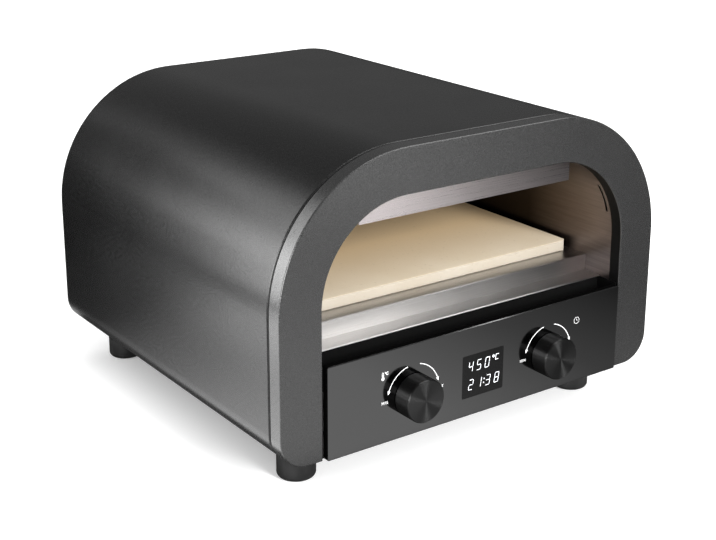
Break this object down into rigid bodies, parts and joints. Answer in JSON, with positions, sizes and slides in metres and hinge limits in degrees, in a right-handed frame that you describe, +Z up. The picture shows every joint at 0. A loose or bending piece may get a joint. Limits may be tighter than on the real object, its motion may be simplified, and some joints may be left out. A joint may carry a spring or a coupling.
{
  "type": "electric pizza maker",
  "caption": "Countertop electric pizza maker: arched steel oven with an open mouth, a baking stone behind a stepped sill, and a control panel with two knobs and a display.",
  "frame": {"origin": "middle of the footprint of the whole object, knobs and rear cover included, at the underside of the feet", "axes": "+Z up; +Y towards the back, so the mouth and the control panel face -Y; +X to the right as the user sees it"},
  "size_m": [0.4, 0.4324, 0.278],
  "materials": {
    "shell_paint": "satin anthracite metallic paint",
    "bezel_paint": "satin grey metallic paint",
    "panel_gloss": "glossy dark grey",
    "display_black": "glossy black window",
    "knob_black": "glossy black",
    "knob_cap": "spun, black anodised",
    "mouth_black": "satin black",
    "stainless": "brushed, tinted by heat",
    "zinc_steel": "zinc plated",
    "heater_sheath": "oxidised sheath",
    "stone": "matt cream cordierite",
    "wool": "needled glass wool",
    "rubber": "matt black",
    "board": "solder mask",
    "black_plastic": "moulded black",
    "white_plastic": "moulded white"
  },
  "bodies": {
    "oven": {"outer_shell": "shell_paint", "front_bezel": "bezel_paint", "bezel_screws": "zinc_steel", "seam_gasket": "rubber", "mouth_ring": "mouth_black", "control_panel": "panel_gloss", "panel_carrier": "zinc_steel", "display_window": "display_black", "display_module": "black_plastic", "control_board": "board", "board_screws": "zinc_steel", "encoder_left": "zinc_steel", "encoder_right": "zinc_steel", "encoder_nuts": "zinc_steel", "front_channel": "mouth_black", "front_sill": "stainless", "stone_tray": "stainless", "cavity_liner": "stainless", "cavity_back": "stainless", "heat_baffle": "stainless", "upper_heater": "heater_sheath", "lower_heater": "heater_sheath", "heater_fittings": "zinc_steel", "upper_hangers": "stainless", "lower_hangers": "stainless", "temperature_probe": "stainless", "insulation_blanket": "wool", "insulation_back": "wool", "insulation_floor": "wool", "heat_shield": "zinc_steel", "side_rails": "zinc_steel", "base_plate": "zinc_steel", "foot_front_left": "rubber", "foot_front_right": "rubber", "foot_rear_left": "rubber", "foot_rear_right": "rubber", "foot_fasteners": "zinc_steel", "power_board": "board", "board_standoffs": "zinc_steel", "terminal_block": "white_plastic", "thermal_cutout": "black_plastic", "cable_gland": "black_plastic", "rear_panel": "zinc_steel", "rear_cover": "shell_paint", "rear_screws": "zinc_steel", "cover_screws": "zinc_steel"},
    "left_knob": {"shaft_left": "zinc_steel", "knob_left": "knob_black", "knob_cap_left": "knob_cap"},
    "right_knob": {"shaft_right": "zinc_steel", "knob_right": "knob_black", "knob_cap_right": "knob_cap"},
    "stone": {"pizza_stone": "stone"}
  },
  "joints": [
    {"name": "left_knob_turn", "type": "hinge", "parent": "oven", "child": "left_knob", "pos_m": [-0.074, -0.2, 0.0695], "axis": [0, -1, 0], "continuous": true},
    {"name": "right_knob_turn", "type": "hinge", "parent": "oven", "child": "right_knob", "pos_m": [0.074, -0.2, 0.0695], "axis": [0, -1, 0], "continuous": true},
    {"name": "stone_slide", "type": "slide", "parent": "oven", "child": "stone", "axis": [0, -1, 0], "range_m": [0, 0.39]}
  ]
}
